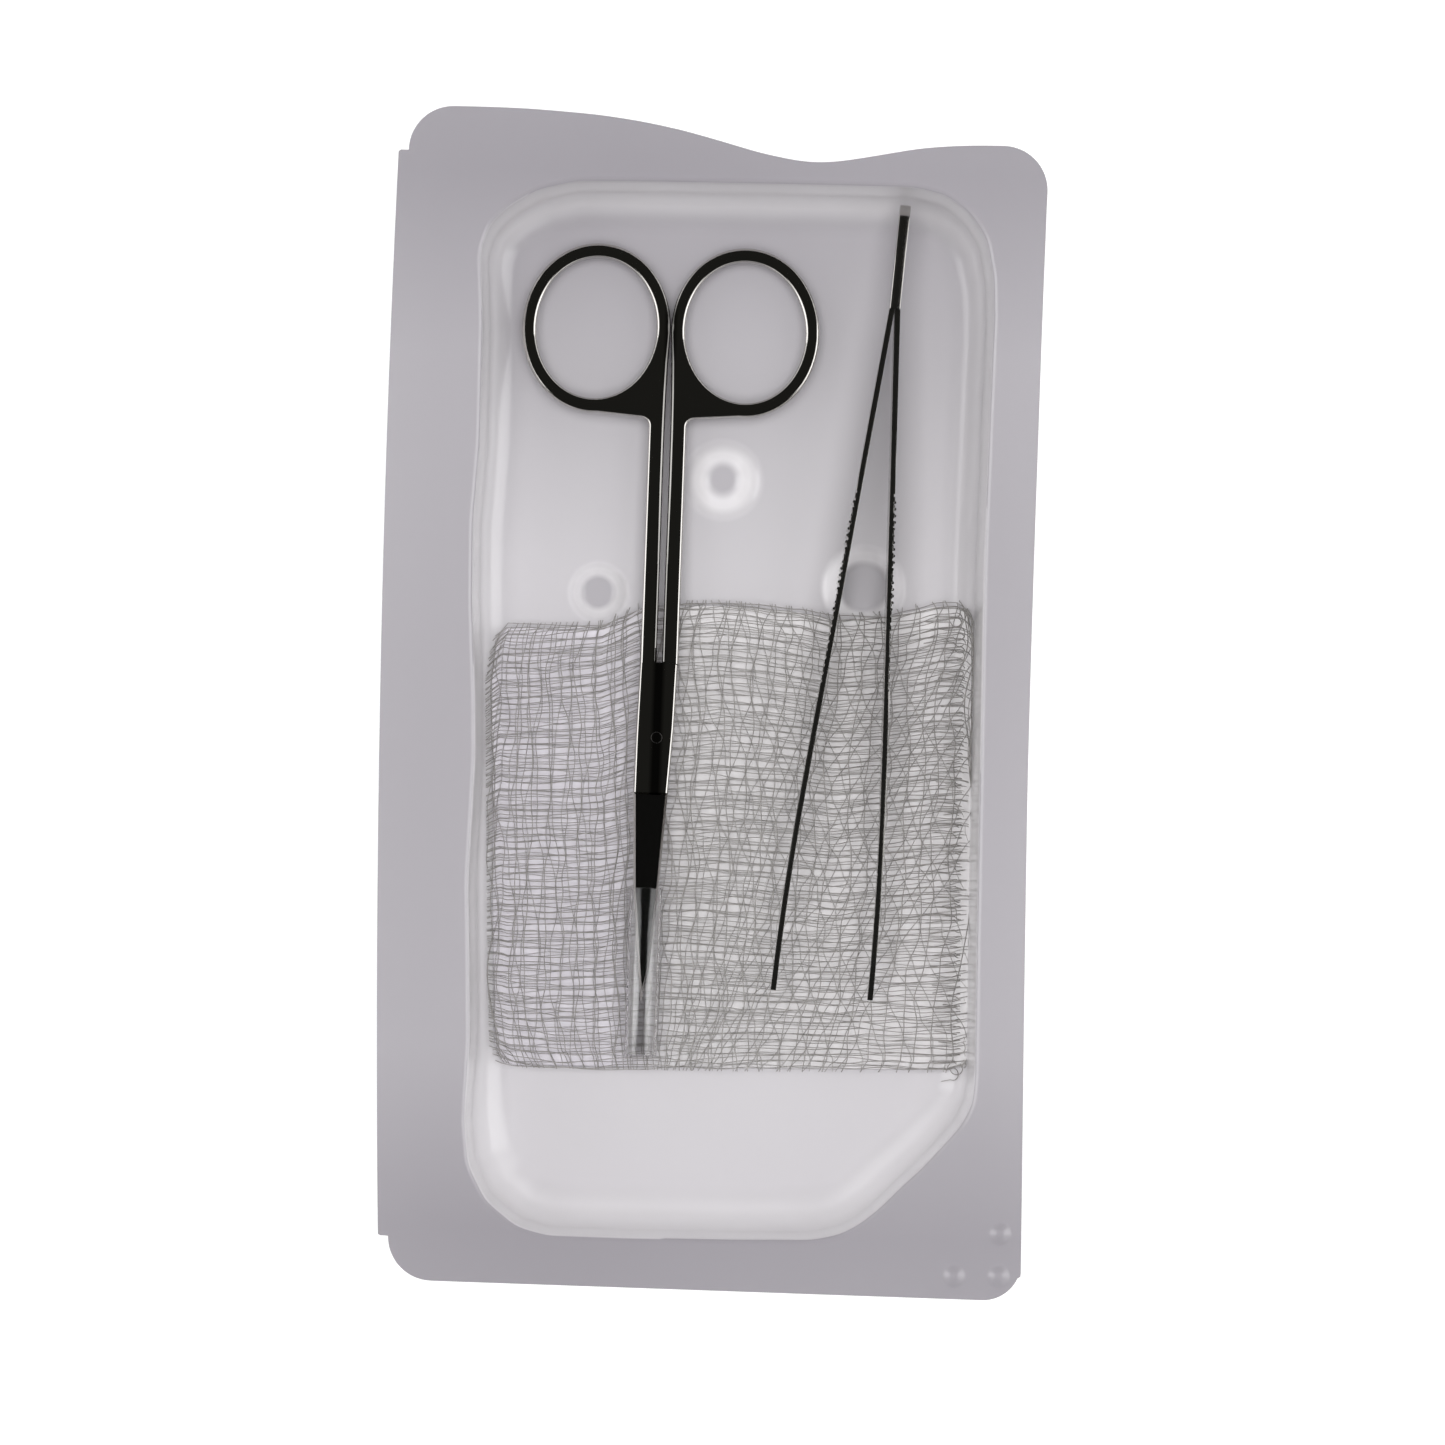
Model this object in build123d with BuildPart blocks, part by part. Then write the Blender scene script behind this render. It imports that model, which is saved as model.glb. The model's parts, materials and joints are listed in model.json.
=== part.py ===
"""Packed instrument tray: a thermoformed film tray that holds ring-handled scissors with a tip
guard, a pair of thumb forceps and a folded gauze sponge. Millimetres, +Z up. The origin is at the
centre of the tray's bounding box, on the surface that the floor of the well rests on."""

import os
from math import cos, radians, sin, tan

from build123d import *

os.makedirs("parts", exist_ok=True)

# ---------------------------------------------------------------- driving dimensions: tray
FILM = 0.5  # film thickness
TRAY_DEPTH = 16.0  # top of the flange above the table
LEFT_EDGE_X = -47.6  # ends of the slightly bowed left edge
LEFT_BOW_X = -48.8  # middle of the left edge
RIGHT_TOP_X = 48.8  # upper end of the right edge
RIGHT_BOW_X = 47.5  # middle of the right edge
RIGHT_LOW_X = 47.9  # lower end of the right edge
TOP_Y = 87.85  # highest part of the wavy upper edge
CREST_Y = 83.5  # second crest, near the upper right corner
TROUGH = (14.8, 80.45)  # hollow between the two crests
BOTTOM_LEFT_Y = -86.5
BOTTOM_RIGHT_Y = -87.8
CORNER_R = 6.6  # punched corners of the flange
LEDGE = 1.5  # step between the side slit and the punched corner

WELL_LEFT_X = -34.9
WELL_RIGHT_X = 40.5
WELL_TOP_Y = 77.1
WELL_BOTTOM_Y = -79.4
WELL_CHAMFER_X = 18.1  # size of the slanted lower right corner
WELL_CHAMFER_Y = 19.2
WELL_R_UPPER_LEFT = 11.0
WELL_R_UPPER_RIGHT = 12.5
WELL_R_LOWER_LEFT = 13.0
WELL_R_CHAMFER = 12.0
WELL_DRAFT = 3.0  # degrees
WELL_FLOOR_R = 3.5  # inside radius between floor and wall

PEG_BASE_R = 6.2
PEG_TOP_R = 3.4
PEG_HEIGHT = 2.3  # above the floor's upper face
PEGS = {"left": (-17.1, 16.5), "middle": (1.8, 33.9), "right": (23.1, 18.0)}
DOT_R = 1.8
DOT_HEIGHT = 0.5
DOTS = [(44.7, -77.9), (38.0, -84.3), (44.6, -84.2)]

# ---------------------------------------------------------------- driving dimensions: gauze
GAUZE_BOTTOM = FILM + 0.08
GAUZE_TOP = 2.5
GAUZE_LEFT_X = -31.9
GAUZE_RIGHT_X = 38.3
GAUZE_LOW_Y = -55.2
GAUZE_HIGH_Y = 15.6
GAUZE_STEP_Y = 11.8  # upper edge left of the left peg
GAUZE_EDGE_R = 1.85  # rounded lower edge, which clears the well's floor radius

# ---------------------------------------------------------------- driving dimensions: scissors
PIVOT = (-7.8, -5.35)
SCISSORS_LEAN = 0.88  # degrees from the tray's long axis
PIVOT_HEIGHT = 4.65  # of the mid-plane between the two halves
SCISSORS_RISE = 1.9  # degrees: the rings lie on the floor, the shanks on the gauze
HANDLE_T = 2.5  # thickness of the shanks and rings
HANDLE_EDGE_R = 0.4
LAP_T = 1.2  # thickness of each half at the joint
BLADE_T = 0.85
HALF_GAP = 0.03  # from the mid-plane to each half's flat face
RING_X = 11.25
RING_Y = 61.6
RING_RX = 9.1
RING_RY = 10.7
RING_BAND = 2.1
RING_TILT = 3.0
SHANK_OUT = 2.85
SHANK_IN = 0.42
SHANK_IN_Y = 26.0  # where the slit between the shanks is widest
WEB_LOW_Y = 48.2  # lower edge of the web between shank and ring
LAP_R = 11.5  # the joint's shoulder, round about the pivot
LAP_CLEAR = 0.15
LAP_TOP_Y = 13.5  # end of the thinned stretch of each shank
BLADE_ROOT_Y = -8.3
BLADE_LEFT = [(-3.15, 0.0), (-3.2, BLADE_ROOT_Y), (-2.7, -22.6), (-1.53, -34.8)]
BLADE_RIGHT = [(0.05, -34.8), (1.08, -22.6), (1.97, BLADE_ROOT_Y), (2.55, 1.6)]
BLADE_TIP = (-1.0, -40.0)
BLADE_BEVEL = 0.32
SCREW_R = 0.85
SCREW_FIT = 0.03
SCREW_HEAD_R = 1.45
SCREW_HEAD_T = 0.45
SCREW_SLOT = 0.35

GUARD_OUT_R = 2.42
GUARD_IN_R = 2.15
GUARD_MOUTH_Y = -22.6
GUARD_LENGTH = 25.2
GUARD_X = -0.82

# ---------------------------------------------------------------- driving dimensions: forceps
HEAD_END = (28.1, 75.4)
FORCEPS_LEAN = 5.0  # degrees from the tray's long axis
HEAD_HEIGHT = 6.3  # the head leans on the foot of the end wall
FORCEPS_RISE = 1.2  # degrees, towards the tips
LEAF_T = 0.8
HEAD_LENGTH = 16.0
HEAD_END_R = 2.2
FLEX_GAP = 0.03  # half the gap at the line where each leaf flexes
LEAF_Y = 0.42  # each leaf's centre line at the fork
SPREAD_END = (88.0, 5.95)  # end of the straight stretch of the right arm
CURVE_R = 460.0
CURVE_TURN = 3.9
HALF_WIDTHS = [(0, 2.6), (16, 3.1), (44, 4.25), (58, 4.35), (74, 3.85), (96, 2.3), (119.6, 0.75)]
GRIP_START = 44.0
GRIP_COUNT = 25
GRIP_PITCH = 1.2
GROOVE_R = 0.36
GROOVE_DEPTH = 0.16


def finish(part, name):
    """Labels a finished piece and writes it."""
    part.label = name
    export_step(part, f"parts/{name}.step")


# ================================================================ tray shell
def well_outline(grow):
    """The well's plan outline at the flange, moved outwards by grow."""
    left, right = WELL_LEFT_X - grow, WELL_RIGHT_X + grow
    top, low = WELL_TOP_Y + grow, WELL_BOTTOM_Y - grow
    slant = grow * tan(radians(22.5))
    chamfer_x, chamfer_y = WELL_CHAMFER_X + slant, WELL_CHAMFER_Y + slant
    with BuildSketch(Plane.XY.offset(TRAY_DEPTH)) as outline:
        with BuildLine():
            Polyline(
                (left, low),
                (right - chamfer_x, low),
                (right, low + chamfer_y),
                (right, top),
                (left, top),
                close=True,
            )
        make_face()
        corners = [
            ((left, top), WELL_R_UPPER_LEFT),
            ((right, top), WELL_R_UPPER_RIGHT),
            ((left, low), WELL_R_LOWER_LEFT),
            ((right - chamfer_x, low), WELL_R_CHAMFER),
            ((right, low + chamfer_y), WELL_R_CHAMFER),
        ]
        for corner, radius in corners:
            nearest = outline.vertices().sort_by_distance(corner)[0]
            fillet(nearest, radius + grow)
    return outline.sketch


def well_block(grow, floor_z):
    """A solid the shape of the well: drafted walls and a rounded foot, down to floor_z."""
    with BuildPart() as block:
        add(well_outline(grow))
        extrude(amount=-(TRAY_DEPTH - floor_z), taper=WELL_DRAFT)
        foot = block.faces().sort_by(Axis.Z)[0].edges()
        fillet(foot, WELL_FLOOR_R + grow)
    return block.part


def peg(grow):
    """The solid of one peg at the origin: a low cone with a rounded top."""
    with BuildPart() as cone:
        with BuildSketch(Plane.XZ):
            with BuildLine():
                top_r, base_r = PEG_TOP_R + grow, PEG_BASE_R + grow
                low, high = 0.0, FILM + PEG_HEIGHT + grow
                Polyline((0, low), (base_r, low), (top_r, high), (0, high), close=True)
            make_face()
        revolve(axis=Axis.Z)
        fillet(cone.faces().sort_by(Axis.Z)[-1].edges(), 1.0)
    return cone.part


with BuildPart() as tray_shell:
    with BuildSketch(Plane.XY.offset(TRAY_DEPTH - FILM)):
        with BuildLine():
            slit_top = TOP_Y - CORNER_R
            slit_low = BOTTOM_LEFT_Y + CORNER_R
            punch_x = LEFT_EDGE_X + LEDGE
            right_top = CREST_Y - CORNER_R
            right_low = BOTTOM_RIGHT_Y + CORNER_R * 0.55
            Line((punch_x, slit_low), (LEFT_EDGE_X, slit_low))
            ThreePointArc((LEFT_EDGE_X, slit_low), (LEFT_BOW_X, 0), (LEFT_EDGE_X, slit_top))
            Line((LEFT_EDGE_X, slit_top), (punch_x, slit_top))
            JernArc((punch_x, slit_top), (0, 1), CORNER_R, -90)
            Spline(
                (punch_x + CORNER_R, TOP_Y),
                (-17.8, 86.95),
                (0.0, 83.45),
                TROUGH,
                (26.5, 82.3),
                (RIGHT_TOP_X - CORNER_R, CREST_Y),
                tangents=((1, 0), (1, 0)),
            )
            JernArc((RIGHT_TOP_X - CORNER_R, CREST_Y), (1, 0), CORNER_R, -90)
            ThreePointArc(
                (RIGHT_TOP_X, right_top), (RIGHT_BOW_X, -10.0), (RIGHT_LOW_X, right_low)
            )
            RadiusArc(
                (RIGHT_LOW_X, right_low), (RIGHT_LOW_X - CORNER_R * 0.9, BOTTOM_RIGHT_Y), CORNER_R
            )
            Line(
                (RIGHT_LOW_X - CORNER_R * 0.9, BOTTOM_RIGHT_Y),
                (punch_x + CORNER_R, BOTTOM_LEFT_Y),
            )
            JernArc((punch_x + CORNER_R, BOTTOM_LEFT_Y), (-1, 0), CORNER_R, -90)
        make_face()
    extrude(amount=FILM)
    add(well_block(FILM, 0.0))
    add(well_block(0.0, FILM), mode=Mode.SUBTRACT)
    for x, y in PEGS.values():
        with Locations((x, y, 0)):
            add(peg(0.0))
    for x, y in PEGS.values():
        with Locations((x, y, -FILM)):
            add(peg(0.0), mode=Mode.SUBTRACT)
    for x, y in DOTS:
        with Locations((x, y, TRAY_DEPTH)):
            Cone(DOT_R, DOT_R * 0.45, DOT_HEIGHT, align=(Align.CENTER, Align.CENTER, Align.MIN))
finish(tray_shell.part, "tray_shell")


# ================================================================ gauze sponge
with BuildPart() as gauze_sponge:
    with BuildSketch(Plane.XY.offset(GAUZE_BOTTOM)) as gauze_outline:
        with BuildLine():
            Polyline(
                (GAUZE_LEFT_X, GAUZE_LOW_Y),
                (GAUZE_RIGHT_X, GAUZE_LOW_Y),
                (GAUZE_RIGHT_X, GAUZE_HIGH_Y),
                (PEGS["left"][0] + PEG_BASE_R, GAUZE_HIGH_Y),
                (PEGS["left"][0] - PEG_BASE_R, GAUZE_STEP_Y),
                (GAUZE_LEFT_X, GAUZE_STEP_Y),
                close=True,
            )
        make_face()
        fillet(gauze_outline.vertices(), 2.0)
    extrude(amount=GAUZE_TOP - GAUZE_BOTTOM)
    fillet(gauze_sponge.faces().sort_by(Axis.Z)[0].edges(), GAUZE_EDGE_R)
    for name in ("left", "right"):
        with BuildSketch(Plane.XY):
            with Locations(PEGS[name]):
                Circle(PEG_BASE_R + 0.25)
        extrude(amount=GAUZE_TOP + 1, mode=Mode.SUBTRACT)
finish(gauze_sponge.part, "gauze_sponge")


# ================================================================ scissors
lean, rise = radians(SCISSORS_LEAN), radians(SCISSORS_RISE)
SCISSORS = Plane(
    origin=(*PIVOT, PIVOT_HEIGHT),
    x_dir=(cos(lean), -sin(lean), 0),
    z_dir=(sin(lean) * sin(rise), cos(lean) * sin(rise), cos(rise)),
)


def handle_profile():
    """Ring, web and shank of the right-hand half in plan, down to the joint's round shoulder."""
    ring = (RING_X, RING_Y)
    with BuildSketch() as profile:
        with BuildLine():
            band = EllipticalCenterArc(
                ring,
                RING_RX + RING_BAND,
                RING_RY + RING_BAND,
                start_angle=-96,
                arc_size=276,
                rotation=RING_TILT,
            )
            Polyline(
                band @ 0,
                (SHANK_OUT, WEB_LOW_Y),
                (SHANK_OUT, 0),
                (SHANK_IN, 0),
                (SHANK_IN, SHANK_IN_Y),
            )
            Spline((SHANK_IN, SHANK_IN_Y), band @ 1, tangents=((0, 1), band % 1 * -1))
        make_face()
        web_corner = profile.vertices().sort_by_distance((SHANK_OUT, WEB_LOW_Y))[0]
        fillet(web_corner, 1.3)
        with Locations(Location((*ring, 0), (0, 0, RING_TILT))):
            Ellipse(RING_RX, RING_RY, mode=Mode.SUBTRACT)
        Circle(LAP_R, mode=Mode.SUBTRACT)
    return profile.sketch


def lap_profile(side):
    """The thinned stretch at the joint: the half's own shank, and a round shoulder beside it."""
    with BuildSketch() as profile:
        with BuildLine():
            Polyline(
                BLADE_LEFT[0],
                BLADE_LEFT[1],
                BLADE_RIGHT[2],
                BLADE_RIGHT[3],
                (SHANK_OUT, LAP_TOP_Y),
                (-SHANK_OUT, LAP_TOP_Y),
                close=True,
            )
        make_face()
        with BuildSketch(mode=Mode.PRIVATE) as kept:
            Circle(LAP_R - LAP_CLEAR)
            with Locations((side * (SHANK_IN + SHANK_OUT) / 2, LAP_R)):
                Rectangle(SHANK_OUT - SHANK_IN, 2 * LAP_R)
        add(kept.sketch, mode=Mode.INTERSECT)
    return profile.sketch


def blade_profile():
    """The blade in plan, from the joint to the tip."""
    with BuildSketch() as profile:
        with BuildLine():
            Polyline(*BLADE_LEFT[1:], BLADE_TIP, *BLADE_RIGHT[:3], close=True)
        make_face()
    return profile.sketch


def scissors_half(side, facing):
    """One half; facing is 1 for the half on top and -1 for the half below."""
    flat = SCISSORS.offset(facing * HALF_GAP)
    outline = handle_profile()
    if side < 0:
        outline = outline.mirror(Plane.YZ)
    with BuildPart() as handle:
        with BuildSketch(SCISSORS.offset(-HANDLE_T / 2)):
            add(outline)
        extrude(amount=HANDLE_T)
        rims = handle.faces().filter_by(SCISSORS).edges()
        shoulder = SCISSORS.from_local_coords((side * SHANK_OUT / 2, LAP_R, 0))
        rims = rims.filter_by(lambda e: (e.center() - shoulder).length > 2.5)
        fillet(rims, HANDLE_EDGE_R)
    with BuildPart() as blade:
        with BuildSketch(flat):
            add(blade_profile())
        extrude(amount=facing * BLADE_T)
        outer = blade.faces().filter_by(SCISSORS).sort_by(Axis.Z)[-1 if facing > 0 else 0]
        chamfer(outer.edges(), BLADE_BEVEL, BLADE_BEVEL)
    with BuildPart() as lap:
        with BuildSketch(flat):
            add(lap_profile(side))
        extrude(amount=facing * LAP_T)
        outer = lap.faces().filter_by(SCISSORS).sort_by(Axis.Z)[-1 if facing > 0 else 0]
        sides = outer.edges().filter_by(lambda e: e.length > 3)
        sides = sides.filter_by(lambda e: abs(e.tangent_at(0.5).dot(SCISSORS.y_dir)) > 0.95)
        fillet(sides, HANDLE_EDGE_R)
    with BuildPart() as half:
        add(lap.part)
        add(handle.part)
        add(blade.part)
        with BuildSketch(SCISSORS.offset(-HANDLE_T)):
            Circle(SCREW_R + SCREW_FIT)
        extrude(amount=2 * HANDLE_T, mode=Mode.SUBTRACT)
        if facing < 0:
            with BuildSketch(SCISSORS.offset(-HALF_GAP - LAP_T - 1)):
                Circle(SCREW_HEAD_R + SCREW_FIT)
            extrude(amount=1 + SCREW_HEAD_T, mode=Mode.SUBTRACT)
    return half.part


scissors_upper_half = scissors_half(-1, 1)
finish(scissors_upper_half, "scissors_upper_half")
scissors_lower_half = scissors_half(1, -1)
finish(scissors_lower_half, "scissors_lower_half")

with BuildPart() as scissors_screw:
    underside = HALF_GAP + LAP_T
    with BuildSketch(SCISSORS.offset(-underside)):
        Circle(SCREW_HEAD_R)
    extrude(amount=SCREW_HEAD_T - SCREW_FIT)
    with BuildSketch(SCISSORS.offset(-underside)):
        Circle(SCREW_R)
    extrude(amount=2 * underside)
    with BuildSketch(SCISSORS.offset(-underside)):
        Rectangle(2 * SCREW_HEAD_R, SCREW_SLOT)
    extrude(amount=SCREW_HEAD_T / 2, mode=Mode.SUBTRACT)
finish(scissors_screw.part, "scissors_screw")

with BuildPart() as tip_guard:
    mouth = Plane(
        origin=SCISSORS.from_local_coords((GUARD_X, GUARD_MOUTH_Y, 0)),
        x_dir=SCISSORS.x_dir,
        z_dir=-SCISSORS.y_dir,
    )
    with BuildSketch(mouth):
        Circle(GUARD_OUT_R)
        Circle(GUARD_IN_R, mode=Mode.SUBTRACT)
    extrude(amount=GUARD_LENGTH)
finish(tip_guard.part, "tip_guard")


# ================================================================ forceps
tilt, climb = radians(FORCEPS_LEAN), radians(FORCEPS_RISE)
FORCEPS = Plane(
    origin=(*HEAD_END, HEAD_HEIGHT),
    x_dir=(-sin(tilt) * cos(climb), -cos(tilt) * cos(climb), sin(climb)),
    z_dir=(sin(tilt) * sin(climb), cos(tilt) * sin(climb), cos(climb)),
)
FORCEPS_SIDE = Plane(origin=FORCEPS.origin, x_dir=FORCEPS.x_dir, z_dir=FORCEPS.y_dir)


def silhouette():
    """The flat outline of a leaf, seen from the side, as a thick slab to cut leaves with."""
    upper = [(x, w) for x, w in HALF_WIDTHS]
    lower = [(x, -w) for x, w in reversed(HALF_WIDTHS)]
    with BuildPart() as slab:
        with BuildSketch(FORCEPS_SIDE) as outline:
            with BuildLine():
                Spline(*upper)
                Line(upper[-1], lower[0])
                Spline(*lower)
                Line(lower[-1], upper[0])
            make_face()
            ends = outline.vertices().sort_by(Axis.X)
            fillet(ends[:2], HEAD_END_R)
            fillet(ends[-2:], 0.6)
        extrude(amount=15, both=True)
    return slab.part


leaf_slab = silhouette()


def arm(side):
    """One spring leaf from the fork to the tip; side is 1 for the right one."""
    start = (HEAD_LENGTH + FLEX_GAP, side * LEAF_Y)
    bend = (SPREAD_END[0], side * SPREAD_END[1])
    run, off = bend[0] - start[0], bend[1] - start[1]
    length = (run**2 + off**2) ** 0.5
    along = (run / length, off / length)
    outward = (-side * along[1], side * along[0])
    with BuildPart() as leaf:
        with BuildSketch(FORCEPS.offset(-max(w for _, w in HALF_WIDTHS) - 1)):
            with BuildLine() as centre:
                Line(start, bend)
                JernArc(bend, along, CURVE_R, -side * CURVE_TURN)
            trace(centre.edges(), line_width=LEAF_T)
            grooves = []
            for i in range(GRIP_COUNT):
                reach = GRIP_START + i * GRIP_PITCH - start[0]
                stand = LEAF_T / 2 + GROOVE_R - GROOVE_DEPTH
                grooves.append(
                    (
                        start[0] + along[0] * reach + outward[0] * stand,
                        start[1] + along[1] * reach + outward[1] * stand,
                    )
                )
            with Locations(*grooves):
                Circle(GROOVE_R, mode=Mode.SUBTRACT)
        extrude(amount=2 * max(w for _, w in HALF_WIDTHS) + 2)
        add(leaf_slab, mode=Mode.INTERSECT)
    return leaf.part


with BuildPart() as forceps_head:
    with BuildSketch(FORCEPS.offset(-10)):
        with Locations((HEAD_LENGTH / 2 - FLEX_GAP / 2, 0)):
            Rectangle(HEAD_LENGTH - FLEX_GAP, 2 * LEAF_T)
    extrude(amount=20)
    add(leaf_slab, mode=Mode.INTERSECT)
finish(forceps_head.part, "forceps_head")

forceps_left_arm = arm(-1)
finish(forceps_left_arm, "forceps_left_arm")
forceps_right_arm = arm(1)
finish(forceps_right_arm, "forceps_right_arm")
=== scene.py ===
import json
from math import cos, pi, radians, sin, tan

import bmesh
import bpy
import numpy as np
from mathutils import Matrix, Vector
from mathutils.bvhtree import BVHTree
from mathutils.geometry import delaunay_2d_cdt


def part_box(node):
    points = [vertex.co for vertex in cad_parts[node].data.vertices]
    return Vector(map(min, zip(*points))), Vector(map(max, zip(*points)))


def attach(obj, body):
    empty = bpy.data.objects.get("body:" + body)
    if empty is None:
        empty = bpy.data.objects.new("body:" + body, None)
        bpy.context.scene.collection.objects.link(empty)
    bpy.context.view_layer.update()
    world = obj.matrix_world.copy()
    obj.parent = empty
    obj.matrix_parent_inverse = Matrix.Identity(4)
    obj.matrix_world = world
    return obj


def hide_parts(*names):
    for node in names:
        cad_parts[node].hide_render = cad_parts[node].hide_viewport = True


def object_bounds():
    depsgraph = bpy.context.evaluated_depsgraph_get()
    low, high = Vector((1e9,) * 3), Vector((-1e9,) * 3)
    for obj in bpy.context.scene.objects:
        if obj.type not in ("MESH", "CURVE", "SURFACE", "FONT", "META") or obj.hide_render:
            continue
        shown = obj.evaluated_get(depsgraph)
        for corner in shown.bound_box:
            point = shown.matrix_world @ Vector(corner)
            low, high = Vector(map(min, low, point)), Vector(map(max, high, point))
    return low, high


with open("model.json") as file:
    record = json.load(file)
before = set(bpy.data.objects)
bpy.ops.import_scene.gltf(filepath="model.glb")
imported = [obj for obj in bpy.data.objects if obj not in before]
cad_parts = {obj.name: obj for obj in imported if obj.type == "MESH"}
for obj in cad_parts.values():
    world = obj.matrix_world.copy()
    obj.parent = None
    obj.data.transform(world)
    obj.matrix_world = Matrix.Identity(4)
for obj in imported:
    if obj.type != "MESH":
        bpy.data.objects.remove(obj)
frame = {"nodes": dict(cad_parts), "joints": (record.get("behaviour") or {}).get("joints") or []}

bl_info = {
    "name": "Packed instrument tray",
    "version": (1, 0, 0),
    "blender": (4, 5, 0),
    "location": "View3D > Sidebar > Instrument tray",
    "description": "Film tray, gauze sponge, scissors with a tip guard and forceps",
    "category": "Object",
}

MM = 0.001
CAD_BOX = [list(corner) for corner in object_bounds()]
JOINTS = {joint["name"]: joint for joint in frame["joints"]}
MERGE = 0.002 * MM
SHARP = radians(40)


# ------------------------------------------------------------------ settings
class TrayFilmSettings(bpy.types.PropertyGroup):
    film: bpy.props.FloatProperty(
        name="Film", description="Thickness of the film", default=0.5 * MM, subtype="DISTANCE"
    )
    # grey of the film at full thickness, also used as painted shade on the raised flange and peg
    # tops
    full_and_shade_colour: bpy.props.FloatVectorProperty(
        name="Full film", description="Colour where the film keeps its full thickness",
        subtype="COLOR", default=(0.27, 0.255, 0.28),
    )
    # pale colour of the thinned film, also used as painted highlight on the walls and peg flanks
    drawn_colour: bpy.props.FloatVectorProperty(
        name="Drawn film", description="Colour where the film is drawn thin",
        subtype="COLOR", default=(0.82, 0.80, 0.82),
    )
    cover: bpy.props.FloatProperty(
        name="Cover", description="How much of what is behind it the film hides",
        default=0.84, min=0.0, max=1.0, subtype="FACTOR",
    )


class GauzeSettings(bpy.types.PropertyGroup):
    weft_pitch: bpy.props.FloatProperty(
        name="Weft pitch", description="Spacing of the threads across the sponge",
        default=1.0 * MM, subtype="DISTANCE",
    )
    warp_pitch: bpy.props.FloatProperty(
        name="Warp pitch", description="Spacing of the threads along the sponge",
        default=2.5 * MM, subtype="DISTANCE",
    )
    thread_radius: bpy.props.FloatProperty(
        name="Thread radius", description="Radius of one thread",
        default=0.072 * MM, subtype="DISTANCE",
    )
    # painted shade: the white cotton threads are given a dark grey
    shaded_thread_colour: bpy.props.FloatVectorProperty(
        name="Thread", description="Colour of the threads", subtype="COLOR",
        default=(0.23, 0.22, 0.21),
    )
    # painted shade: the lower threads are given a dark grey too
    shaded_deep_colour: bpy.props.FloatVectorProperty(
        name="Deep thread", description="Colour of the threads seen through the top ply",
        subtype="COLOR", default=(0.28, 0.27, 0.26),
    )
    lint_colour: bpy.props.FloatVectorProperty(
        name="Lint", description="Colour of the lint between the threads", subtype="COLOR",
        default=(0.93, 0.91, 0.92),
    )


class SteelSettings(bpy.types.PropertyGroup):
    mirror_roughness: bpy.props.FloatProperty(
        name="Mirror roughness", description="Roughness of the polished scissors",
        default=0.08, min=0.0, max=1.0, subtype="FACTOR",
    )
    ground_roughness: bpy.props.FloatProperty(
        name="Ground roughness", description="Roughness of the ground blade face",
        default=0.28, min=0.0, max=1.0, subtype="FACTOR",
    )
    colour: bpy.props.FloatVectorProperty(
        name="Steel", description="Colour of the steel", subtype="COLOR",
        default=(0.50, 0.485, 0.465),
    )


class StageSettings(bpy.types.PropertyGroup):
    height: bpy.props.FloatProperty(
        name="Camera height", description="Height of the camera above the instruments",
        default=700 * MM, subtype="DISTANCE",
    )
    view_width: bpy.props.FloatProperty(
        name="View width", description="Width of the view at the instruments' height",
        default=217.18 * MM, subtype="DISTANCE",
    )
    side_light: bpy.props.FloatProperty(
        name="Side lights", description="Power of each light at the sides, in watts",
        default=3.2, min=0.0,
    )
    fill_light: bpy.props.FloatProperty(
        name="Fill light", description="Power of the light above, in watts", default=14.5, min=0.0,
    )
    glow: bpy.props.FloatProperty(
        name="Floor glow", description="Light given off by the pale floor", default=0.15, min=0.0,
    )
    turn: bpy.props.FloatProperty(
        name="Turn", description="Turn of the camera about its own line of sight",
        default=radians(1.1), subtype="ANGLE",
    )


# ------------------------------------------------------------------ mesh helpers
def new_piece(name, mesh):
    """An object at the origin that holds the mesh."""
    piece = bpy.data.objects.new(name, mesh)
    bpy.context.scene.collection.objects.link(piece)
    return piece


def settled(piece):
    """The piece with its modifiers turned into a plain mesh."""
    bpy.context.view_layer.update()
    evaluated = piece.evaluated_get(bpy.context.evaluated_depsgraph_get())
    mesh = bpy.data.meshes.new_from_object(evaluated)
    piece.modifiers.clear()
    piece.data = mesh
    return piece


def even_loop(points, count):
    """A closed polyline as count evenly spaced points."""
    closed = np.vstack([points, points[:1]])
    steps = np.hypot(*np.diff(closed, axis=0).T)
    along = np.concatenate([[0], np.cumsum(steps)])
    wanted = np.linspace(0, along[-1], count, endpoint=False)
    return np.column_stack([np.interp(wanted, along, closed[:, i]) for i in (0, 1)])


def softened(values, reach):
    """Values round a loop, each averaged with its neighbours."""
    kernel = np.hanning(2 * reach + 3)[1:-1]
    kernel = kernel / kernel.sum()
    rows = np.atleast_2d(values.T).T
    padded = np.vstack([rows[-reach:], rows, rows[:reach]])
    columns = [np.convolve(padded[:, i], kernel, mode="valid") for i in range(rows.shape[1])]
    return np.column_stack(columns).reshape(values.shape)


def outward(loop, reach):
    """Unit normals of a counter-clockwise loop that point away from its inside."""
    along = np.roll(loop, -1, axis=0) - np.roll(loop, 1, axis=0)
    normal = softened(np.column_stack([along[:, 1], -along[:, 0]]), reach)
    return normal / np.hypot(*normal.T)[:, None]


def inside(points, loop):
    """Which of the points lie inside the closed loop."""
    x, y = points[:, :1], points[:, 1:]
    ax, ay = loop[:, 0], loop[:, 1]
    bx, by = np.roll(ax, -1), np.roll(ay, -1)
    spans = (ay > y) != (by > y)
    level = np.where(by == ay, 1e-12, by - ay)
    crossing = ax + (y - ay) * (bx - ax) / level
    return (spans & (x < crossing)).sum(axis=1) % 2 == 1


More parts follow.
